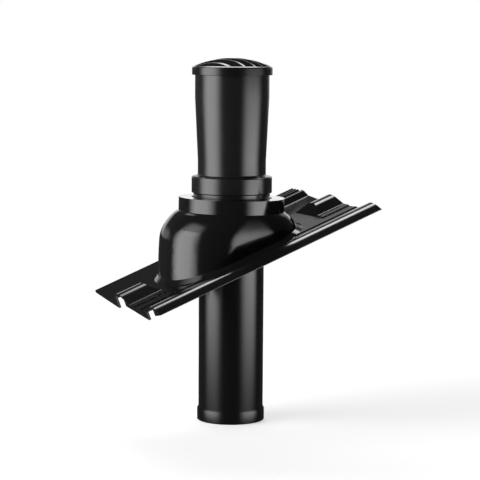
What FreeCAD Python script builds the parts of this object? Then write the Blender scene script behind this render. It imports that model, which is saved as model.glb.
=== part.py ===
import FreeCAD, Part
import os
from math import cos, sin, tan, radians, sqrt

# Roof vent pipe: a DN 100 pipe with a louvred cap, carried through a pitched roof by a profiled
# plastic tile with a turret. Millimetres, +Z up.
# The origin is the centre of the pipe's lower end face, on the pipe's upright axis.
# X runs along the eaves, +Y points up the slope of the roof.

V = FreeCAD.Vector
UP = V(0, 0, 1)
EAVES = V(1, 0, 0)
ORIGIN = V(0, 0, 0)

# Through pipe, with a bead at its lower end that holds a duct clamp
pipe_r = 55.0
pipe_wall = 3.0
pipe_length = 443.0
bead_proud = 2.2
bead_height = 21.0
bead_round = 1.0

# Upper tube: a socket over the pipe, a flare above it and a rain ring at its foot
slide_gap = 0.2
socket_wall = 2.2
mouth_flare = 7.5
tube_wall = 3.0
stop_width = 3.0
stop_height = 3.0
ring_proud = 3.2
socket_depth = 55.0
ring_height = 24.7
ring_wall = 3.0
ring_slant = 7.3
neck_proud = 9.6
neck_wall = 3.0
neck_depth = 27.0
flare_height = 105.0
mouth_height = 45.0
edge_round = 1.2

# Rubber seal between the pipe and the socket bead
socket_seal_height = 14.0
socket_seal_web = 4.0
lip_thick = 2.0
lip_level = 0.45

# Louvred cap
cap_overhang = 5.1
cap_skirt = 12.3
cap_wall = 2.5
cap_plate = 5.0
cap_sleeve_wall = 2.4
cap_sleeve_length = 20.5
cap_gap = 0.2
dome_rise = 14.8
dome_step = 1.2
louvre_count = 8
louvre_margin = 1.1
louvre_pitch = 16.8
louvre_angle = 35.0
louvre_thick = 2.5
louvre_below = 6.0
louvre_bearing = -51.5

# Roof tile and its turret
tile_pitch = 21.4
lean_angle = 1.1
tile_front = -220.6
tile_back = 201.0
tile_far = -152.0
tile_near = 178.0
sheet = 3.2
deep = 50.0

roll_near_inset = 30.0
roll_near_drop = 1.5
crest_round = 48.0
flank_angle = 24.0
foot_round = 6.0
pan_drop = 15.5
ledge_drop = 13.4
ledge_width = 18.0
ledge_fall = 0.4
ledge_edge = 2.0
far_pan_drop = 9.4
far_roll_x = -110.0
far_roll_half = 4.0
far_roll_drop = 1.5
far_roll_foot = -92.0
far_roll_edge = 2.0
far_roll_round = 4.0
far_roll_step = 1.0
rib_count = 3
rib_spacing = 11.0
rib_width = 3.5
rib_depth = 4.5
rib_slope = 1.0
pan_rib_inset = 94.0
pan_rib_height = 1.3
pan_rib_width = 3.0
edge_drop = 11.3

notch_length = 166.0
notch_width = 33.0
roll_cut_front = -157.0
roll_cut_back = 146.0
roll_end_run = 18.0

apron_thick = 4.0
apron_start = 14.0
apron_end = 28.6
apron_second = 19.0
middle_arch = 20.0
near_arch_far = 35.0
near_arch_near = 2.0
near_apron_start = 16.6
near_apron_lip = 1.5

collar_width = 24.8
collar_drop = 8.3
collar_height = 23.1
turret_rise = 74.4
collar_bore_gap = 3.4
turret_side = 5.6
turret_reach = 31.6
turret_corner_ease = 1.4
turret_foot_flare = 6.5
shoulder_step = 1.0
shoulder_profile = ((0, 0), (8, 0.34), (17, 0.585), (27, 0.80), (38, 0.94), (52, 1.0), (150, 0.96))
shoulder_wall = 0.8

# Rubber seal between the turret's opening and the neck
turret_seal_rise = 1.5
turret_seal_flange = 4.0
turret_seal_grip = 2.4
turret_seal_press = 0.6

# Worked out
socket_r = pipe_r + slide_gap
waist_r = socket_r + socket_wall
neck_r = pipe_r + neck_proud
ring_r = neck_r + ring_proud
mouth_r = pipe_r + mouth_flare
ring_foot = pipe_length - socket_depth
ring_top = ring_foot + ring_height
shoulder_top = ring_top + ring_slant
neck_foot = ring_foot - neck_depth
flare_top = pipe_length + flare_height
tube_top = flare_top + mouth_height
mouth_inner_r = mouth_r - tube_wall
cap_r = mouth_r + cap_overhang
cap_top = tube_top + cap_plate
louvre_first = cap_r - louvre_margin
bore_r = neck_r + collar_bore_gap
collar_r = neck_r + collar_width
collar_top = ring_foot - collar_drop
turret_half_x = collar_r + turret_side
turret_half_y = collar_r + turret_reach
turret_corner = collar_r - turret_corner_ease
roll_near_x = tile_near - roll_near_inset
pan_rib_x = tile_near - pan_rib_inset
near_arch_start = roll_near_x - near_arch_far
near_arch_end = roll_near_x + near_arch_near
tile_height = collar_top - turret_rise


def revolve(points):
    """A solid of revolution about Z from (radius, height) points."""
    corners = [V(r, 0, z) for r, z in points]
    face = Part.Face(Part.makePolygon(corners + corners[:1]))
    return face.revolve(ORIGIN, UP, 360)


def export(name, shape):
    """Writes one sub-part."""
    shape = shape.removeSplitter()
    print(name, shape.isValid(), len(shape.Solids), round(shape.Volume / 1000, 1))
    shape.Solids[0].exportStep(os.path.join("parts", name + ".step"))


def through_pipe():
    """The pipe that carries the air through the roof, beaded at its lower end."""
    inner = pipe_r - pipe_wall
    bead = pipe_r + bead_proud
    return revolve([(inner, 0), (bead - bead_round, 0), (bead, bead_round),
                    (bead, bead_height - bead_round), (bead - bead_round, bead_height),
                    (pipe_r, bead_height), (pipe_r, pipe_length), (inner, pipe_length)])


def upper_tube():
    """Socket, flare, rain ring and neck, moulded as one."""
    groove_r = neck_r - ring_wall
    stop_top = pipe_length + stop_height
    outside = [(neck_r - neck_wall, neck_foot), (neck_r, neck_foot), (neck_r, ring_foot),
               (ring_r - edge_round, ring_foot), (ring_r, ring_foot + edge_round),
               (ring_r, ring_top - edge_round), (ring_r - edge_round, ring_top),
               (waist_r, shoulder_top), (waist_r, pipe_length), (mouth_r, flare_top),
               (mouth_r, tube_top)]
    inside = [(mouth_inner_r, tube_top), (mouth_inner_r, flare_top),
              (waist_r - socket_wall, stop_top + stop_height), (socket_r - stop_width, stop_top),
              (socket_r - stop_width, pipe_length), (socket_r, pipe_length),
              (socket_r, ring_top - ring_wall), (groove_r, ring_top - ring_wall)]
    return revolve(outside + inside)


def socket_seal():
    """Rubber lip ring in the bead of the socket, gripping the pipe."""
    groove_r = neck_r - ring_wall
    top = ring_top - ring_wall
    foot = top - socket_seal_height
    lip_top = top - socket_seal_height * lip_level
    return revolve([(groove_r, foot), (groove_r, top), (groove_r - socket_seal_web, top),
                    (pipe_r, lip_top), (pipe_r, lip_top - lip_thick)])


def dome(offset):
    """A solid under the cap's dome, its surface moved in by offset."""
    base_z = cap_top + dome_step
    base_r = cap_r - cap_wall * 0.5
    big_r = (base_r ** 2 + dome_rise ** 2) / (2 * dome_rise)
    centre = V(0, 0, base_z + dome_rise - big_r)
    ball = Part.makeSphere(big_r - offset, centre)
    trim = Part.makeCylinder(base_r - offset, dome_rise * 3, V(0, 0, cap_top - dome_rise))
    return ball.common(trim)


def louvre_blade(distance):
    """One sloping blade whose lower edge crosses the rim at a distance from the axis."""
    slope = radians(louvre_angle)
    half = cap_r
    run_up = 2 * half
    drop = louvre_below
    low = V(distance + drop / tan(slope), 0, -drop)
    high = low + V(-run_up * cos(slope), 0, run_up * sin(slope))
    thick = V(sin(slope), 0, cos(slope)) * louvre_thick
    face = Part.Face(Part.makePolygon([low, high, high - thick, low - thick, low]))
    blade = face.extrude(V(0, 2 * half, 0))
    blade.translate(V(0, -half, cap_top))
    blade.rotate(ORIGIN, UP, louvre_bearing)
    return blade


def louvred_cap():
    """Rim, push-in sleeve and domed louvres, moulded as one."""
    skirt_foot = cap_top - cap_skirt
    sleeve_r = mouth_inner_r - cap_gap
    sleeve_in = sleeve_r - cap_sleeve_wall
    sleeve_foot = cap_top - cap_sleeve_length
    rim_in = cap_r - cap_wall
    rim = revolve([(sleeve_in, sleeve_foot), (sleeve_r, sleeve_foot), (sleeve_r, tube_top),
                   (rim_in, tube_top), (rim_in, skirt_foot), (cap_r, skirt_foot),
                   (cap_r, cap_top - edge_round), (cap_r - edge_round, cap_top + edge_round),
                   (sleeve_in, cap_top + edge_round)])
    under_dome = dome(0)
    well = Part.makeCylinder(sleeve_r, dome_rise * 3, V(0, 0, cap_top - louvre_below))
    space = under_dome.common(well.fuse(Part.makeCylinder(cap_r, dome_rise * 2, V(0, 0, cap_top))))
    blades = []
    for number in range(louvre_count):
        distance = louvre_first - louvre_pitch * number
        blades.append(louvre_blade(distance).common(space))
    return rim.fuse(blades)


def path(corners):
    """Edges of an open path in the XZ plane through (x, z, radius) corners."""
    edges = []
    start = V(corners[0][0], 0, corners[0][1])
    for before, corner, after in zip(corners, corners[1:], corners[2:]):
        point = V(corner[0], 0, corner[1])
        back = (V(before[0], 0, before[1]) - point).normalize()
        ahead = (V(after[0], 0, after[1]) - point).normalize()
        half = back.getAngle(ahead) / 2
        if corner[2] == 0:
            edges.append(Part.makeLine(start, point))
            start = point
            continue
        reach = corner[2] / tan(half)
        arc_start = point + back * reach
        arc_end = point + ahead * reach
        middle = point + (back + ahead).normalize() * (corner[2] / sin(half) - corner[2])
        edges.append(Part.makeLine(start, arc_start))
        edges.append(Part.Arc(arc_start, middle, arc_end).toShape())
        start = arc_end
    edges.append(Part.makeLine(start, V(corners[-1][0], 0, corners[-1][1])))
    return edges


def block_under(corners, drop, front, back):
    """A solid under a profile, lowered by drop, from front to back along the slope."""
    edges = path([(x, h - drop, r) for x, h, r in corners])
    first = edges[0].Vertexes[0].Point
    last = edges[-1].Vertexes[-1].Point
    low_last = V(last.x, 0, -deep - drop)
    low_first = V(first.x, 0, -deep - drop)
    edges += [Part.makeLine(last, low_last), Part.makeLine(low_last, low_first),
              Part.makeLine(low_first, first)]
    block = Part.Face(Part.Wire(edges)).extrude(V(0, back - front, 0))
    block.translate(V(0, front, 0))
    return block


def roll(centre, top, far_foot, near_foot):
    """Corners of one roll of the tile: straight flanks under a round crest."""
    rise = tan(radians(flank_angle))
    peak = top + crest_round * (1 / cos(radians(flank_angle)) - 1)
    return [(centre - (peak + far_foot) / rise, -far_foot, foot_round), (centre, peak, crest_round),
            (centre + (peak + near_foot) / rise, -near_foot, foot_round)]


def far_zone():
    """Corners of the ribbed underlap and the low roll beside it."""
    corners = []
    x = tile_far
    for number in range(rib_count):
        corners += [(x, -far_roll_drop, 0), (x + rib_width, -far_roll_drop, 0),
                    (x + rib_width + rib_slope, -far_roll_drop - rib_depth, 0),
                    (x + rib_spacing - rib_slope, -far_roll_drop - rib_depth, 0)]
        x += rib_spacing
    corners += [(far_roll_x - far_roll_half, -far_roll_drop, far_roll_edge),
                (far_roll_x + far_roll_half, -far_roll_drop, far_roll_round),
                (far_roll_foot, -far_pan_drop - far_roll_step, foot_round)]
    return corners


def near_zone():
    """Corners of the roll along the near edge, with a small rib in the pan before it."""
    far_foot, crest, near_foot = roll(roll_near_x, -roll_near_drop, pan_drop, pan_drop)
    fall = (tile_near - roll_near_x) * tan(radians(flank_angle))
    edge_top = crest[1] - fall
    half = pan_rib_width / 2
    rib_top = pan_rib_height - pan_drop
    return [(pan_rib_x - half - rib_slope, -pan_drop, 0), (pan_rib_x - half, rib_top, 0),
            (pan_rib_x + half, rib_top, 0), (pan_rib_x + half + rib_slope, -pan_drop, 0),
            far_foot, crest, (tile_near, edge_top, 0)]


def middle_zone():
    """Corners of the roll in the middle, with the ledge beside its near foot."""
    far_foot, crest, near_foot = roll(0, 0, pan_drop, ledge_drop)
    ledge_end = near_foot[0] + ledge_width
    return [far_foot, crest, near_foot, (ledge_end, -ledge_drop - ledge_fall, 0),
            (ledge_end + ledge_edge, -pan_drop, 0)]


def plate_block(drop):
    """The tile as a block, lowered by drop, before the hollow is taken out of it."""
    front = tile_front + (apron_thick if drop else 0)
    back = tile_back + (deep if drop else 0)
    notch_end = tile_front + notch_length
    side = deep if drop else 0
    near = near_zone()
    if drop:
        edge = near.pop()
        near.append((tile_near - drop, edge[1] + drop * tan(radians(flank_angle)), 0))
    far = far_zone()
    far_flat = [(tile_far + notch_width - side, -far_pan_drop, 0)]
    if drop:
        far = [(tile_far - side, far[0][1], 0)] + far
    pan_corner = [(-roll(0, 0, pan_drop, pan_drop)[2][0], -pan_drop, 0)]
    ribbed = block_under(far + pan_corner + near, drop, notch_end + drop, back)
    plain = block_under(far_flat + pan_corner + near, drop, front, notch_end + drop)
    return ribbed.fuse(plain)


def middle_roll(drop):
    """The two lengths of the middle roll, with sloping ends before and behind the turret."""
    low, high = (tile_front + apron_thick, tile_back + deep) if drop else (tile_front, tile_back)
    bar = block_under(middle_zone(), drop, low, high)
    margin = 2 * deep
    run = roll_end_run / pan_drop
    lift = margin * run
    shift = drop * (sqrt(1 + run ** 2) - run)
    front = roll_cut_front - shift
    back = roll_cut_back + shift
    level = -pan_drop - drop
    outline = [V(-margin * 2, front, -margin), V(-margin * 2, front, level),
               V(-margin * 2, front - lift, level + margin),
               V(-margin * 2, back + lift, level + margin), V(-margin * 2, back, level),
               V(-margin * 2, back, -margin)]
    gap = Part.Face(Part.makePolygon(outline + outline[:1])).extrude(V(margin * 4, 0, 0))
    return bar.cut(gap)


def turret_section(z, half_x, half_y, corner):
    """A level rounded rectangle with its corners as arcs."""
    x, y = half_x - corner, half_y - corner
    d = corner * sqrt(0.5)
    edges = [Part.makeLine(V(x, -half_y, z), V(-x, -half_y, z)),
             Part.Arc(V(-x, -half_y, z), V(-x - d, -y - d, z), V(-half_x, -y, z)).toShape(),
             Part.makeLine(V(-half_x, -y, z), V(-half_x, y, z)),
             Part.Arc(V(-half_x, y, z), V(-x - d, y + d, z), V(-x, half_y, z)).toShape(),
             Part.makeLine(V(-x, half_y, z), V(x, half_y, z)),
             Part.Arc(V(x, half_y, z), V(x + d, y + d, z), V(half_x, y, z)).toShape(),
             Part.makeLine(V(half_x, y, z), V(half_x, -y, z)),
             Part.Arc(V(half_x, -y, z), V(x + d, -y - d, z), V(x, -half_y, z)).toShape()]
    return Part.Wire(edges)


def lay_on_roof(shape):
    """Turns a shape from the tile's flat frame to its place on the slope."""
    shape.rotate(ORIGIN, EAVES, tile_pitch)
    shape.translate(V(0, 0, tile_height))
    return shape


def flared_foot(body, drop):
    """The turret down to the pan, with the flared foot where it meets it."""
    level = -pan_drop - drop
    reach = 8 * deep
    slab = lay_on_roof(Part.makeBox(2 * reach, 2 * reach, reach, V(-reach, -reach, level - reach)))
    normal = V(0, -sin(radians(tile_pitch)), cos(radians(tile_pitch)))
    base = V(0, 0, tile_height)
    joined = body.fuse(slab)
    foot = []
    for edge in joined.Edges:
        points = [edge.valueAt(edge.getParameterByLength(edge.Length * part)) for part in (0, 0.5, 1)]
        if all(abs((p - base).dot(normal) - level) < 0.001 and abs(p.x) < reach / 2 for p in points):
            foot.append(edge)
    if drop == 0:
        joined = joined.makeChamfer(turret_foot_flare, foot)
    half_x = turret_half_x + 2 * turret_foot_flare
    half_y = (turret_half_y + turret_foot_flare) / cos(radians(tile_pitch)) + deep / 2
    around = Part.makeBox(2 * half_x, 2 * half_y, reach, V(-half_x, -half_y, -deep - drop))
    return joined.common(lay_on_roof(around))


def turret_block(drop):
    """The turret as a solid, its walls moved in by drop."""
    top = collar_top - collar_height
    start = collar_r + shoulder_step
    sections = []
    for depth, spread in shoulder_profile:
        half_x = start + (turret_half_x - start) * spread - drop
        half_y = start + (turret_half_y - start) * spread - drop
        corner = collar_r + (turret_corner - collar_r) * spread - drop
        sections.append(turret_section(top - drop * shoulder_wall - depth, half_x, half_y, corner))
    body = Part.makeLoft(sections, True, drop > 0, False, 2)
    collar = Part.makeCylinder(collar_r - drop, collar_height - drop + deep, V(0, 0, top - deep))
    body = body.fuse(collar)
    body.rotate(V(0, 0, collar_top), EAVES, -lean_angle)
    return flared_foot(body, drop)


def prism_across(points, start, length):
    """A prism along the slope from (x, height) points."""
    corners = [V(x, start, h) for x, h in points]
    return Part.Face(Part.makePolygon(corners + corners[:1])).extrude(V(0, length, 0))


def apron_cuts():
    """What is taken off the front apron: below its edges, and under the rolls."""
    start = tile_front - deep
    length = deep + apron_thick * 2
    bottom = -2 * deep - sheet
    first = tile_far + notch_width
    below = [(first - deep, bottom), (first - deep, -apron_start), (first, -apron_start),
             (-middle_arch, -apron_end), (middle_arch, -apron_second),
             (near_arch_start, -apron_end - near_apron_lip),
             (near_arch_end, -near_apron_start), (tile_near, -edge_drop),
             (tile_near + deep, -edge_drop), (tile_near + deep, bottom)]
    cuts = [prism_across(below, start, length)]
    roll_space = block_under(middle_zone(), sheet, start, start + length)
    near = near_zone()
    edge = near.pop()
    near.append((tile_near + deep, edge[1], 0))
    near_space = block_under(near, sheet, start, start + length)
    arches = ((roll_space, -middle_arch, middle_arch), (near_space, near_arch_start, near_arch_end))
    for space, low, high in arches:
        window = Part.makeBox(high - low, length, 4 * deep, V(low, start, -2 * deep))
        cuts.append(space.common(window))
    return cuts


def roof_tile():
    """The profiled tile and its turret, one thin moulding that is hollow below."""
    outer = lay_on_roof(plate_block(0).fuse(middle_roll(0))).fuse(turret_block(0))
    inner = lay_on_roof(plate_block(sheet).fuse(middle_roll(sheet))).fuse(turret_block(sheet))
    length = tile_back - tile_front
    flange = Part.makeBox(deep, 2 * length, 2 * deep,
                          V(tile_near - sheet * 2, -length, -edge_drop - 2 * deep))
    trims = [lay_on_roof(cut) for cut in apron_cuts() + [flange]]
    opening = Part.makeCylinder(bore_r, 2 * collar_height, V(0, 0, collar_top - collar_height))
    opening.rotate(V(0, 0, collar_top), EAVES, -lean_angle)
    return outer.cut(inner).cut(trims).cut(opening)


def turret_seal():
    """Rubber ring in the turret's opening, closing the gap round the neck."""
    top = collar_top
    under = collar_top - sheet
    lip = neck_r - turret_seal_press
    flange_r = bore_r + turret_seal_flange
    body = revolve([(lip, under - turret_seal_grip), (flange_r, under - turret_seal_grip),
                    (flange_r, under), (bore_r, under), (bore_r, top),
                    (bore_r + turret_seal_grip, top),
                    (bore_r + turret_seal_grip * 0.5, top + turret_seal_rise),
                    (lip, top + turret_seal_rise)])
    body.rotate(V(0, 0, collar_top), EAVES, -lean_angle)
    neck = Part.makeCylinder(neck_r, 2 * neck_depth, V(0, 0, collar_top - neck_depth))
    return body.cut(neck)


def build():
    """Builds and writes every sub-part."""
    os.makedirs("parts", exist_ok=True)
    export("vent_pipe", through_pipe())
    export("upper_tube", upper_tube())
    export("socket_seal", socket_seal())
    export("louvred_cap", louvred_cap())
    export("turret_seal", turret_seal())
    export("roof_tile", roof_tile())


build()
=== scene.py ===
"""Roof vent pipe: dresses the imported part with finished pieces, materials and a plain studio."""

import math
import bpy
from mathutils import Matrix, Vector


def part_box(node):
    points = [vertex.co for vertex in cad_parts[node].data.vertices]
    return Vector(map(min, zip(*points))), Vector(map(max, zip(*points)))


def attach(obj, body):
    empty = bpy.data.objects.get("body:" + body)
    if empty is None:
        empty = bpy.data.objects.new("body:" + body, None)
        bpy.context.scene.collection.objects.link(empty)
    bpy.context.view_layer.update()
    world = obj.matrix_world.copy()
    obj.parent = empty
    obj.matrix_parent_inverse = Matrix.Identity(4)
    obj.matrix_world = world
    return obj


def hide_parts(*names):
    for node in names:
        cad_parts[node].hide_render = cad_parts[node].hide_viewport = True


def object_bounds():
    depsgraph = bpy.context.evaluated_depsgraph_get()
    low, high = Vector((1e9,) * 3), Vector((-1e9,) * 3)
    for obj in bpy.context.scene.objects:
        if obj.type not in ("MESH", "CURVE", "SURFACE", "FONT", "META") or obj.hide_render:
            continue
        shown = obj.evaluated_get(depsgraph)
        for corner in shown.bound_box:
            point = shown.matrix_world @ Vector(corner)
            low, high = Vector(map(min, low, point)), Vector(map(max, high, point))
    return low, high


bl_info = {
    "name": "Roof vent pipe",
    "version": (1, 0, 0),
    "blender": (4, 5, 0),
    "location": "View3D > Sidebar > Vent pipe",
    "description": "Builds the finished pieces, plastics and studio of a roof vent pipe",
    "category": "Object",
}

import bmesh
import bpy
from bpy.props import FloatProperty, FloatVectorProperty, IntProperty, PointerProperty
from mathutils import Matrix, Vector

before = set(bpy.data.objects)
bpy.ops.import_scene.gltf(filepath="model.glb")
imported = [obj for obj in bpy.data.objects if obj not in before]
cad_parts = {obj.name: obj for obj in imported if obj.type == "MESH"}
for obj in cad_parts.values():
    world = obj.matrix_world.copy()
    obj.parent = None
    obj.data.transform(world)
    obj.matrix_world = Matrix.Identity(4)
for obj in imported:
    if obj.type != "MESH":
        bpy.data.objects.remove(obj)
cad_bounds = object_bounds()
MM = 0.001
FULL_TURN = math.radians(360)
SAME_PLACE = 2e-6

# Heights on the pipe's axis, in metres, where pieces meet or change direction
PIPE_TOP = 0.443
COLLAR_TOP = 0.3797
RING_FOOT = 0.388
RING_EDGE = 0.4148
RING_LEDGE = 0.4161
WAIST_LEDGE = 0.4168
WAIST_FOOT = 0.4183
SOCKET_FOOT = 0.4097
SOCKET_STOP = 0.446
SOCKET_SHOULDER = 0.449
FLARE_TOP = 0.548


class VentSizes(bpy.types.PropertyGroup):
    """Sizes of the turned pieces that the part's boxes don't give."""

    pipe_radius: FloatProperty(
        name="Pipe radius", description="Outside radius of the through pipe",
        default=0.055, unit="LENGTH", precision=4)
    pipe_wall: FloatProperty(
        name="Pipe wall", description="Wall thickness of the through pipe",
        default=0.003, unit="LENGTH", precision=4)
    bead_height: FloatProperty(
        name="Bead height", description="Height of the bead at the pipe's lower end",
        default=0.021, unit="LENGTH", precision=4)
    tube_wall: FloatProperty(
        name="Tube wall", description="Wall thickness of the upper tube",
        default=0.003, unit="LENGTH", precision=4)
    mouth_radius: FloatProperty(
        name="Mouth radius", description="Outside radius of the upper tube's mouth",
        default=0.0625, unit="LENGTH", precision=4)
    neck_radius: FloatProperty(
        name="Neck radius", description="Outside radius of the neck in the collar",
        default=0.0646, unit="LENGTH", precision=4)
    opening_radius: FloatProperty(
        name="Opening radius", description="Radius of the opening in the collar's top",
        default=0.068, unit="LENGTH", precision=4)
    turret_lean: FloatProperty(
        name="Turret lean", description="Lean of the turret from plumb, down the slope",
        default=math.radians(1.1), subtype="ANGLE")
    cap_plate: FloatProperty(
        name="Cap plate", description="Height of the cap's plate over the mouth of the tube",
        default=0.005, unit="LENGTH", precision=4)
    louvres: IntProperty(
        name="Louvres", description="Number of blades in the dome", default=7, min=1)
    louvre_first: FloatProperty(
        name="First louvre", description="Distance of the first blade from the axis",
        default=0.0562, unit="LENGTH", precision=4)
    louvre_pitch: FloatProperty(
        name="Louvre pitch", description="Distance from blade to blade",
        default=0.018, unit="LENGTH", precision=4)
    louvre_thick: FloatProperty(
        name="Louvre thickness", description="Thickness of a blade",
        default=0.0025, unit="LENGTH", precision=4)
    louvre_slope: FloatProperty(
        name="Louvre slope", description="Slope of the blades from level",
        default=math.radians(51), subtype="ANGLE")
    louvre_bearing: FloatProperty(
        name="Louvre bearing", description="Direction in which the blades come down",
        default=math.radians(-62.2), subtype="ANGLE")
    around: IntProperty(
        name="Steps around", description="Faces around each turned piece", default=144, min=24)


class VentFinishes(bpy.types.PropertyGroup):
    """Colours and gloss of the plastics and the rubber."""

    tile_colour: FloatVectorProperty(
        name="Tile", description="Colour of the tile's black plastic",
        default=(0.006, 0.0061, 0.0063), size=3, subtype="COLOR", min=0, max=1)
    tube_colour: FloatVectorProperty(
        name="Upper tube", description="Colour of the upper tube's black plastic",
        default=(0.0105, 0.0106, 0.0108), size=3, subtype="COLOR", min=0, max=1)
    cap_colour: FloatVectorProperty(
        name="Cap", description="Colour of the cap's black plastic",
        default=(0.005, 0.0051, 0.0052), size=3, subtype="COLOR", min=0, max=1)
    pipe_colour: FloatVectorProperty(
        name="Pipe", description="Colour of the pipe's black plastic",
        default=(0.004, 0.0041, 0.0042), size=3, subtype="COLOR", min=0, max=1)
    rubber: FloatVectorProperty(
        name="Rubber", description="Colour of the seals",
        default=(0.006, 0.006, 0.006), size=3, subtype="COLOR", min=0, max=1)
    tile_roughness: FloatProperty(
        name="Tile roughness", description="Roughness of the tile's plastic",
        default=0.12, subtype="FACTOR", min=0, max=1)
    tube_roughness: FloatProperty(
        name="Tube roughness", description="Roughness of the upper tube's and the cap's plastic",
        default=0.22, subtype="FACTOR", min=0, max=1)
    pipe_roughness: FloatProperty(
        name="Pipe roughness", description="Roughness of the drawn pipe",
        default=0.2, subtype="FACTOR", min=0, max=1)
    rubber_roughness: FloatProperty(
        name="Rubber roughness", description="Roughness of the seals",
        default=0.6, subtype="FACTOR", min=0, max=1)


class VentStudio(bpy.types.PropertyGroup):
    """Lamps, floor and camera of the plain studio."""

    left_glow: FloatProperty(
        name="Left lamp", description="Brightness of the large soft box on the left",
        default=5.0, subtype="FACTOR")
    high_glow: FloatProperty(
        name="High lamp", description="Brightness of the dim soft box above the left one",
        default=2.0, subtype="FACTOR")
    right_glow: FloatProperty(
        name="Right lamp", description="Brightness of the soft box on the right",
        default=4.8, subtype="FACTOR")
    top_glow: FloatProperty(
        name="Top lamp", description="Brightness of the soft box overhead",
        default=6.0, subtype="FACTOR")
    back_glow: FloatProperty(
        name="Back lamp", description="Brightness of the dim soft box behind the tile",
        default=0.4, subtype="FACTOR")
    world_glow: FloatProperty(
        name="World", description="Brightness of the world away from the pale wall",
        default=0.05, subtype="FACTOR")
    floor_colour: FloatVectorProperty(
        name="Floor", description="Colour of the floor",
        default=(0.86, 0.86, 0.86), size=3, subtype="COLOR", min=0, max=1)
    lens: FloatProperty(
        name="Lens", description="Focal length of the camera",
        default=142.5, unit="CAMERA")


def link(obj):
    """Puts an object into the scene."""
    bpy.context.scene.collection.objects.link(obj)
    return obj


def from_bmesh(name, bm, material):
    """A finished object from a bmesh, which is freed."""
    mesh = bpy.data.meshes.new(name)
    bm.to_mesh(mesh)
    bm.free()
    for polygon in mesh.polygons:
        polygon.use_smooth = True
    mesh.materials.append(material)
    return link(bpy.data.objects.new(name, mesh))


def stand_for(obj, slot, *nodes):
    """The piece rides on the part and is shown in place of its nodes."""
    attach(obj, "root")
    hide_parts(*nodes)


def keep_flats(obj):
    """Normals weighted by area, so that flat faces stay flat beside their rounded edges."""
    weighted = obj.modifiers.new("even_normals", "WEIGHTED_NORMAL")
    weighted.mode = "FACE_AREA_WITH_ANGLE"
    weighted.weight = 80
    weighted.keep_sharp = True


def bevel(bm, edges, width, segments, clamp):
    """Rounds the chosen edges."""
    bmesh.ops.bevel(bm, geom=edges, offset=width, offset_type="OFFSET", affect="EDGES",
                    segments=segments, profile=0.5, material=-1, clamp_overlap=clamp)


def round_edges(bm, width, degrees, segments):
    """Rounds each edge that turns by more than an angle."""
    limit = math.radians(degrees)
    sharp = [e for e in bm.edges if len(e.link_faces) == 2 and e.calc_face_angle(0) > limit]
    bevel(bm, sharp, width, segments, True)


def turned(profile, steps):
    """A bmesh of revolution about the pipe's axis from a closed outline of (radius, height)."""
    bm = bmesh.new()
    verts = [bm.verts.new((radius, 0, height)) for radius, height in profile]
    edges = [bm.edges.new((a, b)) for a, b in zip(verts, verts[1:] + verts[:1])]
    bmesh.ops.spin(bm, geom=verts + edges, cent=(0, 0, 0), axis=(0, 0, 1), angle=FULL_TURN,
                   steps=steps, use_merge=True)
    bmesh.ops.remove_doubles(bm, verts=bm.verts, dist=SAME_PLACE / 2)
    bmesh.ops.recalc_face_normals(bm, faces=bm.faces)
    return bm


def merged_copy(node):
    """A bmesh copy of a node of the part, its loose triangles merged."""
    bm = bmesh.new()
    bm.from_mesh(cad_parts[node].data)
    bmesh.ops.remove_doubles(bm, verts=bm.verts, dist=SAME_PLACE)
    bmesh.ops.dissolve_limit(bm, angle_limit=math.radians(0.05), verts=bm.verts, edges=bm.edges)
    return bm


def new_group(name, inputs, outputs):
    """An empty shader node group with named sockets."""
    group = bpy.data.node_groups.new(name, "ShaderNodeTree")
    for label, kind, value in inputs:
        socket = group.interface.new_socket(label, in_out="INPUT", socket_type=kind)
        socket.default_value = value
    for label, kind in outputs:
        group.interface.new_socket(label, in_out="OUTPUT", socket_type=kind)
    return group


def add(tree, kind, **values):
    """A new node with its properties set, and its inputs by name."""
    node = tree.nodes.new(kind)
    for key, value in values.items():
        if key in node.inputs:
            node.inputs[key].default_value = value
        else:
            setattr(node, key, value)
    return node


def blend(tree, value, start, end, low=0.0, high=1.0, kind="SMOOTHSTEP"):
    """The output of a Map Range from low to high, as a value goes from start to end."""
    reach = add(tree, "ShaderNodeMapRange", interpolation_type=kind,
                **{"From Min": start, "From Max": end, "To Min": low, "To Max": high})
    tree.links.new(value, reach.inputs["Value"])
    return reach.outputs["Result"]


def calculate(tree, operation, first, second, **settings):
    """The output of a Math node on a socket and another socket or number."""
    node = add(tree, "ShaderNodeMath", operation=operation, **settings)
    tree.links.new(first, node.inputs[0])
    if isinstance(second, (int, float)):
        node.inputs[1].default_value = second
    else:
        tree.links.new(second, node.inputs[1])
    return node.outputs[0]


def noise(tree, place, scale, detail, roughness):
    """The value of a noise texture whose scale is a socket or a number."""
    texture = add(tree, "ShaderNodeTexNoise", Detail=detail, Roughness=roughness)
    tree.links.new(place, texture.inputs["Vector"])
    if isinstance(scale, (int, float)):
        texture.inputs["Scale"].default_value = scale
    else:
        tree.links.new(scale, texture.inputs["Scale"])
    return texture.outputs["Fac"]


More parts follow.
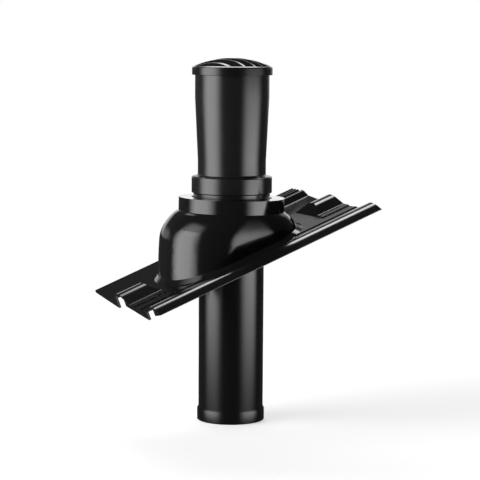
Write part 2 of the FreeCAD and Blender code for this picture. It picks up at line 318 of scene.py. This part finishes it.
def moulded_group():
    """Colour, roughness and height of moulded plastic: faint flow clouds, fine grain and dust."""
    group = new_group(
        "moulded_plastic",
        [("Colour", "NodeSocketColor", (0, 0, 0, 1)), ("Roughness", "NodeSocketFloat", 0.2),
         ("Cloud size", "NodeSocketFloat", 9.0), ("Grain size", "NodeSocketFloat", 900.0),
         ("Dust", "NodeSocketFloat", 0.03), ("Stretch", "NodeSocketFloat", 1.0)],
        [("Colour", "NodeSocketColor"), ("Roughness", "NodeSocketFloat"),
         ("Height", "NodeSocketFloat")])
    dust_colour = (0.06, 0.06, 0.058, 1)
    speck_scale, speck_start, speck_end = 210.0, 0.6, 0.78
    gloss_drift, grain_share = 0.03, 0.25
    source = add(group, "NodeGroupInput").outputs
    result = add(group, "NodeGroupOutput").inputs
    link_up = group.links.new
    place = add(group, "ShaderNodeTexCoord").outputs["Object"]
    stretch = add(group, "ShaderNodeCombineXYZ", X=1.0, Y=1.0)
    link_up(source["Stretch"], stretch.inputs["Z"])
    drawn = add(group, "ShaderNodeVectorMath", operation="MULTIPLY")
    link_up(place, drawn.inputs[0])
    link_up(stretch.outputs[0], drawn.inputs[1])
    clouds = noise(group, drawn.outputs[0], source["Cloud size"], 3.0, 0.55)
    grain = noise(group, drawn.outputs[0], source["Grain size"], 2.0, 0.6)
    specks = noise(group, place, speck_scale, 4.0, 0.7)
    dusty = calculate(group, "MULTIPLY",
                      blend(group, specks, speck_start, speck_end, kind="LINEAR"), source["Dust"])
    colour = add(group, "ShaderNodeMix", data_type="RGBA")
    link_up(dusty, colour.inputs["Factor"])
    link_up(source["Colour"], colour.inputs[6])
    colour.inputs[7].default_value = dust_colour
    link_up(colour.outputs[2], result["Colour"])
    drift = blend(group, clouds, 0.3, 0.7, -gloss_drift, gloss_drift, kind="LINEAR")
    rough = calculate(group, "ADD", source["Roughness"], drift)
    link_up(calculate(group, "ADD", rough, dusty, use_clamp=True), result["Roughness"])
    height = add(group, "ShaderNodeMath", operation="MULTIPLY_ADD")
    link_up(grain, height.inputs[0])
    height.inputs[1].default_value = grain_share
    link_up(clouds, height.inputs[2])
    link_up(height.outputs[0], result["Height"])


def plastic(name, colour, roughness, relief, **effect):
    """A Principled plastic that takes its variation from the moulded group."""
    material = bpy.data.materials.new(name)
    material.use_nodes = True
    tree = material.node_tree
    shader = tree.nodes["Principled BSDF"]
    shader.inputs["IOR"].default_value = 1.54
    look = add(tree, "ShaderNodeGroup", node_tree=bpy.data.node_groups["moulded_plastic"])
    look.inputs["Colour"].default_value = (*colour, 1)
    look.inputs["Roughness"].default_value = roughness
    for key, value in effect.items():
        look.inputs[key.replace("_", " ").capitalize()].default_value = value
    bump = add(tree, "ShaderNodeBump", Strength=relief, Distance=0.4 * MM)
    tree.links.new(look.outputs["Colour"], shader.inputs["Base Color"])
    tree.links.new(look.outputs["Roughness"], shader.inputs["Roughness"])
    tree.links.new(look.outputs["Height"], bump.inputs["Height"])
    tree.links.new(bump.outputs["Normal"], shader.inputs["Normal"])
    return material


class VENT_OT_finishes(bpy.types.Operator):
    """Makes the plastics and the rubber, and gives the hidden seal its own"""

    bl_idname = "vent.finishes"
    bl_label = "Finishes"

    def execute(self, context):
        finish = context.scene.vent_finishes
        moulded_group()
        plastic("tile_finish", finish.tile_colour, finish.tile_roughness, 0.1, cloud_size=7.0)
        plastic("tube_finish", finish.tube_colour, finish.tube_roughness, 0.06, cloud_size=12.0)
        plastic("cap_finish", finish.cap_colour, finish.tube_roughness, 0.06, cloud_size=20.0)
        plastic("pipe_finish", finish.pipe_colour, finish.pipe_roughness, 0.08, cloud_size=30.0,
                stretch=0.04)
        rubber = plastic("rubber_finish", finish.rubber, finish.rubber_roughness, 0.3,
                         cloud_size=60.0, dust=0.3)
        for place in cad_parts["socket_seal"].material_slots:
            place.material = rubber
        return {"FINISHED"}


class VENT_OT_pipe(bpy.types.Operator):
    """Turns the through pipe with its bead"""

    bl_idname = "vent.pipe"
    bl_label = "Through pipe"

    def execute(self, context):
        sizes = context.scene.vent_sizes
        low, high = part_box("vent_pipe")
        outer = sizes.pipe_radius
        inner = outer - sizes.pipe_wall
        bead = high[0]
        slope = 1.5 * MM
        bm = turned([(inner, low[2]), (bead, low[2]), (bead, sizes.bead_height - slope),
                     (outer, sizes.bead_height + slope), (outer, high[2]), (inner, high[2])],
                    sizes.around)
        round_edges(bm, 1.0 * MM, 40, 4)
        pipe = from_bmesh("through_pipe", bm, bpy.data.materials["pipe_finish"])
        keep_flats(pipe)
        stand_for(pipe, "pipe_plastic", "vent_pipe")
        return {"FINISHED"}


class VENT_OT_upper_tube(bpy.types.Operator):
    """Turns the upper tube: mouth, flare, waist, shoulder, rain ring and neck"""

    bl_idname = "vent.upper_tube"
    bl_label = "Upper tube"

    def execute(self, context):
        sizes = context.scene.vent_sizes
        low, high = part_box("upper_tube")
        foot, top, ring = low[2], high[2], high[0]
        wall = sizes.tube_wall
        neck = sizes.neck_radius
        mouth = sizes.mouth_radius
        waist = sizes.pipe_radius + 2.4 * MM
        socket = sizes.pipe_radius + 0.2 * MM
        ring_slope = 2.9 * MM
        waist_slope = 1.6 * MM
        outside = [(neck, foot), (neck, RING_FOOT), (ring, RING_FOOT), (ring, RING_EDGE),
                   (ring - ring_slope, RING_LEDGE), (waist + waist_slope, WAIST_LEDGE),
                   (waist, WAIST_FOOT), (waist, PIPE_TOP), (mouth, FLARE_TOP), (mouth, top)]
        inside = [(mouth - wall, top), (mouth - wall, FLARE_TOP), (socket, SOCKET_SHOULDER),
                  (socket - wall, SOCKET_STOP), (socket - wall, PIPE_TOP), (socket, PIPE_TOP),
                  (socket, SOCKET_FOOT), (neck - wall, SOCKET_FOOT)]
        bm = turned([(neck - wall, foot)] + outside + inside, sizes.around)
        round_edges(bm, 1.2 * MM, 12, 4)
        tube = from_bmesh("upper_vent_tube", bm, bpy.data.materials["tube_finish"])
        keep_flats(tube)
        stand_for(tube, "tube_plastic", "upper_tube")
        return {"FINISHED"}


def dome_height(radius, rim, step):
    """Height of the cap's dome at a radius: a ball over the rim's upper edge."""
    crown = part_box("louvred_cap")[1][2]
    edge = rim - 1.25 * MM
    rise = crown - step
    ball = (edge ** 2 + rise ** 2) / (2 * rise)
    return crown - ball + math.sqrt(ball ** 2 - radius ** 2)


def dome_space(reach, foot, rim, step):
    """The outline of the space under the dome, down to the foot of the louvres."""
    outline = [(0, foot), (reach, foot)]
    parts = 16
    for number in range(parts):
        radius = reach * math.cos(FULL_TURN / 4 * number / parts)
        outline.append((radius, dome_height(radius, rim, step)))
    outline.append((0, dome_height(0, rim, step)))
    return outline


def louvre_slabs(sizes, rim, plate):
    """A bmesh of the sloping blades, longer and wider than the cap."""
    bm = bmesh.new()
    for number in range(sizes.louvres):
        blade = bmesh.ops.create_cube(bm, size=1)["verts"]
        bmesh.ops.scale(bm, verts=blade, vec=(rim * 4, rim * 2.2, sizes.louvre_thick))
        bmesh.ops.translate(bm, verts=blade, vec=(0, 0, -sizes.louvre_thick / 2))
        bmesh.ops.rotate(bm, verts=blade, cent=(0, 0, 0),
                         matrix=Matrix.Rotation(sizes.louvre_slope, 3, "Y"))
        distance = sizes.louvre_first - sizes.louvre_pitch * number
        bmesh.ops.translate(bm, verts=blade, vec=(distance, 0, plate))
    bmesh.ops.rotate(bm, verts=bm.verts, cent=(0, 0, 0),
                     matrix=Matrix.Rotation(sizes.louvre_bearing, 3, "Z"))
    return bm


def common_part(obj, other):
    """A bmesh of what two objects share. Both objects are removed."""
    cut = obj.modifiers.new("common_part", "BOOLEAN")
    cut.operation = "INTERSECT"
    cut.solver = "EXACT"
    cut.object = other
    bm = bmesh.new()
    bm.from_object(obj, bpy.context.evaluated_depsgraph_get())
    bpy.data.objects.remove(obj)
    bpy.data.objects.remove(other)
    bmesh.ops.remove_doubles(bm, verts=bm.verts, dist=SAME_PLACE)
    return bm


class VENT_OT_cap(bpy.types.Operator):
    """Turns the cap's rim and sleeve, and cuts its louvres to the dome"""

    bl_idname = "vent.cap"
    bl_label = "Louvred cap"

    def execute(self, context):
        sizes = context.scene.vent_sizes
        finish = bpy.data.materials["cap_finish"]
        low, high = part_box("louvred_cap")
        rim = high[0]
        tube_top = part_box("upper_tube")[1][2]
        plate = tube_top + sizes.cap_plate
        sleeve = rim - 8.3 * MM
        sleeve_inside = sleeve - 2.4 * MM
        rim_inside = rim - 2.5 * MM
        skirt = plate - 12.3 * MM
        step = plate + 1.2 * MM
        brim_height = step - 0.4 * MM
        ledge = rim - 5.2 * MM
        ledge_foot = step - 1 * MM
        bm = turned([(sleeve_inside, low[2]), (sleeve, low[2]), (sleeve, tube_top),
                     (rim_inside, tube_top), (rim_inside, skirt), (rim, skirt),
                     (rim, brim_height), (ledge, dome_height(ledge, rim, step)),
                     (ledge, ledge_foot), (sleeve_inside, ledge_foot)], sizes.around)
        near = 0.1 * MM
        brim = [e for e in bm.edges if all(abs(vert.co.z - brim_height) < near and
                                           vert.co.xy.length > rim - near
                                           for vert in e.verts)]
        bevel(bm, brim, 1.4 * MM, 6, False)
        round_edges(bm, 0.7 * MM, 25, 4)
        ring = from_bmesh("vent_cap_rim", bm, finish)
        keep_flats(ring)
        stand_for(ring, "cap_plastic", "louvred_cap")
        slabs = from_bmesh("louvre_slabs", louvre_slabs(sizes, rim, plate), finish)
        outline = dome_space(ledge + 0.2 * MM, plate - 6 * MM, rim, step)
        space = from_bmesh("dome_space", turned(outline, sizes.around), finish)
        bm = common_part(slabs, space)
        round_edges(bm, 0.4 * MM, 25, 2)
        louvres = from_bmesh("dome_louvres", bm, finish)
        keep_flats(louvres)
        stand_for(louvres, "cap_plastic", "louvred_cap")
        return {"FINISHED"}


class VENT_OT_seal(bpy.types.Operator):
    """Turns the seal that closes the turret's opening, flush with the collar's top"""

    bl_idname = "vent.seal"
    bl_label = "Turret seal"

    def execute(self, context):
        sizes = context.scene.vent_sizes
        lip = sizes.neck_radius - 0.2 * MM
        opening = sizes.opening_radius
        flange = opening + 4 * MM
        top = COLLAR_TOP - 0.5 * MM
        under = COLLAR_TOP - 3 * MM
        foot = COLLAR_TOP - 5.4 * MM
        bm = turned([(lip, foot), (flange, foot), (flange, under), (opening, under),
                     (opening, top), (lip, top)], sizes.around)
        round_edges(bm, 0.3 * MM, 40, 2)
        bmesh.ops.rotate(bm, verts=bm.verts, cent=(0, 0, COLLAR_TOP),
                         matrix=Matrix.Rotation(-sizes.turret_lean, 3, "X"))
        seal = from_bmesh("turret_seal_ring", bm, bpy.data.materials["rubber_finish"])
        keep_flats(seal)
        stand_for(seal, "seal_rubber", "turret_seal")
        return {"FINISHED"}


class VENT_OT_tile(bpy.types.Operator):
    """Finishes the roof tile and its turret with rounded edges"""

    bl_idname = "vent.tile"
    bl_label = "Roof tile"

    def execute(self, context):
        bm = merged_copy("roof_tile")
        round_edges(bm, 0.6 * MM, 28, 2)
        tile = from_bmesh("turret_roof_tile", bm, bpy.data.materials["tile_finish"])
        keep_flats(tile)
        stand_for(tile, "tile_plastic", "roof_tile")
        return {"FINISHED"}


def soft_box(name, place, aim, width, height, soft, glow):
    """A soft box whose light falls away smoothly over the soft share of its width and height."""
    lamp = bpy.data.lights.new(name, "AREA")
    lamp.shape = "RECTANGLE"
    lamp.size = width
    lamp.size_y = height
    lamp.energy = glow * math.pi * width * height
    lamp.use_nodes = True
    tree = lamp.node_tree
    spot = add(tree, "ShaderNodeNewGeometry")
    across = add(tree, "ShaderNodeSeparateXYZ")
    tree.links.new(spot.outputs["Parametric"], across.inputs[0])
    falls = []
    for axis, share in zip("XY", soft):
        centred = calculate(tree, "SUBTRACT", across.outputs[axis], 0.5)
        outward = add(tree, "ShaderNodeMath", operation="ABSOLUTE")
        tree.links.new(centred, outward.inputs[0])
        falls.append(blend(tree, outward.outputs[0], 0.5 - share, 0.5, 1.0, 0.0))
    tree.links.new(calculate(tree, "MULTIPLY", *falls), tree.nodes["Emission"].inputs["Strength"])
    obj = link(bpy.data.objects.new(name, lamp))
    obj.location = place
    obj.rotation_euler = (Vector(aim) - Vector(place)).to_track_quat("-Z", "Y").to_euler()


def around(bearing, distance, height):
    """A place at a bearing and distance from the part's axis."""
    turn = math.radians(bearing)
    return Vector((math.cos(turn) * distance, math.sin(turn) * distance, height))


def axis_at(height):
    """A place on the part's axis."""
    return Vector((0, 0, height))


def studio_lamps(studio):
    """The soft boxes at both sides, overhead and behind, level ones aimed at their own height."""
    soft_box("soft_box_left", around(-92.5, 2.2, 1.08), axis_at(1.08),
             width=3.5, height=3.06, soft=(0.4, 0.16), glow=studio.left_glow)
    soft_box("soft_box_left_high", around(-92.5, 2.2, 2.7), axis_at(2.7),
             width=3.5, height=1.5, soft=(0.4, 0.45), glow=studio.high_glow)
    soft_box("soft_box_right", around(42.5, 2.2, 0.1), axis_at(0.1),
             width=3.5, height=1.1, soft=(0.4, 0.45), glow=studio.right_glow)
    soft_box("soft_box_top", around(150, 1.67, 2.21), axis_at(0.35),
             width=3.0, height=0.95, soft=(0.25, 0.35), glow=studio.top_glow)
    soft_box("soft_box_back", (-1.1, 0.9, 0.75), (0, 0.15, 0.35),
             width=1.35, height=0.8, soft=(0.15, 0.15), glow=studio.back_glow)


def world_light(scene, dim):
    """A white background, with a world that is dim but for a low pale wall behind the part."""
    world = bpy.data.worlds.new("studio_world")
    scene.world = world
    world.use_nodes = True
    tree = world.node_tree
    back = tree.nodes["Background"]
    place = add(tree, "ShaderNodeTexCoord").outputs["Generated"]
    towards_camera = add(tree, "ShaderNodeVectorMath", operation="DOT_PRODUCT")
    towards_camera.inputs[1].default_value = (0.91, -0.414, 0)
    tree.links.new(place, towards_camera.inputs[0])
    behind = blend(tree, towards_camera.outputs["Value"], -0.95, -0.3, 1.0, 0.0)
    split = add(tree, "ShaderNodeSeparateXYZ")
    tree.links.new(place, split.inputs[0])
    rise = blend(tree, split.outputs["Z"], 0.0, 0.05)
    fall = blend(tree, split.outputs["Z"], 0.14, 0.3, 1.0, 0.0)
    wall = calculate(tree, "MULTIPLY", behind, calculate(tree, "MULTIPLY", rise, fall))
    rays = add(tree, "ShaderNodeLightPath")
    seen = add(tree, "ShaderNodeMix", data_type="FLOAT")
    tree.links.new(rays.outputs["Is Camera Ray"], seen.inputs[0])
    tree.links.new(calculate(tree, "ADD", wall, dim), seen.inputs[2])
    seen.inputs[3].default_value = 1.0
    tree.links.new(seen.outputs[0], back.inputs["Strength"])
    back.inputs["Color"].default_value = (1, 1, 1, 1)


def floor_material(colour):
    """A pale floor that fades out at its rim and is a little lighter to the camera."""
    material = bpy.data.materials.new("pale_floor")
    material.use_nodes = True
    tree = material.node_tree
    shader = tree.nodes["Principled BSDF"]
    shader.inputs["Base Color"].default_value = (*colour, 1)
    shader.inputs["Roughness"].default_value = 0.9
    shader.inputs["Specular IOR Level"].default_value = 0.0
    shader.inputs["Emission Color"].default_value = (1, 1, 1, 1)
    rays = add(tree, "ShaderNodeLightPath")
    glow = calculate(tree, "MULTIPLY", rays.outputs["Is Camera Ray"], 0.5)
    tree.links.new(glow, shader.inputs["Emission Strength"])
    place = add(tree, "ShaderNodeTexCoord")
    length = add(tree, "ShaderNodeVectorMath", operation="LENGTH")
    tree.links.new(place.outputs["Object"], length.inputs[0])
    clear = add(tree, "ShaderNodeBsdfTransparent")
    mix = add(tree, "ShaderNodeMixShader")
    tree.links.new(blend(tree, length.outputs["Value"], 0.5, 1.5), mix.inputs[0])
    tree.links.new(shader.outputs[0], mix.inputs[1])
    tree.links.new(clear.outputs[0], mix.inputs[2])
    tree.links.new(mix.outputs[0], tree.nodes["Material Output"].inputs["Surface"])
    return material


def camera_place():
    """The camera's place: a little above the part, from the near side of the eaves."""
    bearing, dip, roll = math.radians(24.48), math.radians(6.43), math.radians(0.35)
    aim_height, sideways, distance = 0.3069, 0.0145, 3.218
    ahead = Vector((-math.cos(bearing) * math.cos(dip), math.sin(bearing) * math.cos(dip),
                    -math.sin(dip)))
    level = Vector((math.sin(bearing), math.cos(bearing), 0))
    centre = Vector((0, 0, aim_height)) + level * sideways - ahead * distance
    up = level.cross(ahead)
    right = level * math.cos(roll) + up * math.sin(roll)
    above = up * math.cos(roll) - level * math.sin(roll)
    turn = Matrix((right, above, -ahead)).transposed().to_4x4()
    return Matrix.Translation(centre) @ turn


class VENT_OT_stage(bpy.types.Operator):
    """Sets the pale floor, the soft boxes, the world and the camera"""

    bl_idname = "vent.stage"
    bl_label = "Studio"

    def execute(self, context):
        scene = context.scene
        studio = scene.vent_studio
        scene.view_settings.view_transform = "Standard"
        bm = bmesh.new()
        bmesh.ops.create_circle(bm, cap_ends=True, radius=2.0, segments=96)
        bmesh.ops.translate(bm, verts=bm.verts, vec=(0, 0, cad_bounds[0][2] - 0.2 * MM))
        floor = from_bmesh("studio_floor", bm, floor_material(studio.floor_colour))
        floor.visible_glossy = False
        studio_lamps(studio)
        world_light(scene, studio.world_glow)
        camera = bpy.data.cameras.new("photo_camera")
        camera.lens = studio.lens
        camera.sensor_width = 36
        eye = link(bpy.data.objects.new("photo_camera", camera))
        eye.matrix_world = camera_place()
        scene.camera = eye
        return {"FINISHED"}


class VENT_PT_panel(bpy.types.Panel):
    """Lists the steps that build the vent pipe"""

    bl_idname = "VENT_PT_panel"
    bl_label = "Vent pipe"
    bl_space_type = "VIEW_3D"
    bl_region_type = "UI"
    bl_category = "Vent pipe"

    def draw(self, context):
        layout = self.layout
        scene = context.scene
        for group in (scene.vent_sizes, scene.vent_finishes, scene.vent_studio):
            for name in group.__annotations__:
                layout.prop(group, name)
        for step in STEPS:
            layout.operator(step.bl_idname)


STEPS = (VENT_OT_finishes, VENT_OT_stage, VENT_OT_pipe, VENT_OT_upper_tube, VENT_OT_cap,
         VENT_OT_seal, VENT_OT_tile)
CLASSES = (VentSizes, VentFinishes, VentStudio) + STEPS + (VENT_PT_panel,)


def register():
    """Registers the classes and gives the scene its settings."""
    for cls in CLASSES:
        bpy.utils.register_class(cls)
    bpy.types.Scene.vent_sizes = PointerProperty(type=VentSizes)
    bpy.types.Scene.vent_finishes = PointerProperty(type=VentFinishes)
    bpy.types.Scene.vent_studio = PointerProperty(type=VentStudio)


def unregister():
    """Takes the settings and the classes away again."""
    del bpy.types.Scene.vent_studio
    del bpy.types.Scene.vent_finishes
    del bpy.types.Scene.vent_sizes
    for cls in reversed(CLASSES):
        bpy.utils.unregister_class(cls)


def main():
    """Builds everything in order."""
    register()
    bpy.ops.vent.finishes()
    bpy.ops.vent.stage()
    bpy.ops.vent.pipe()
    bpy.ops.vent.upper_tube()
    bpy.ops.vent.cap()
    bpy.ops.vent.seal()
    bpy.ops.vent.tile()


if __name__ == "__main__":
    main()
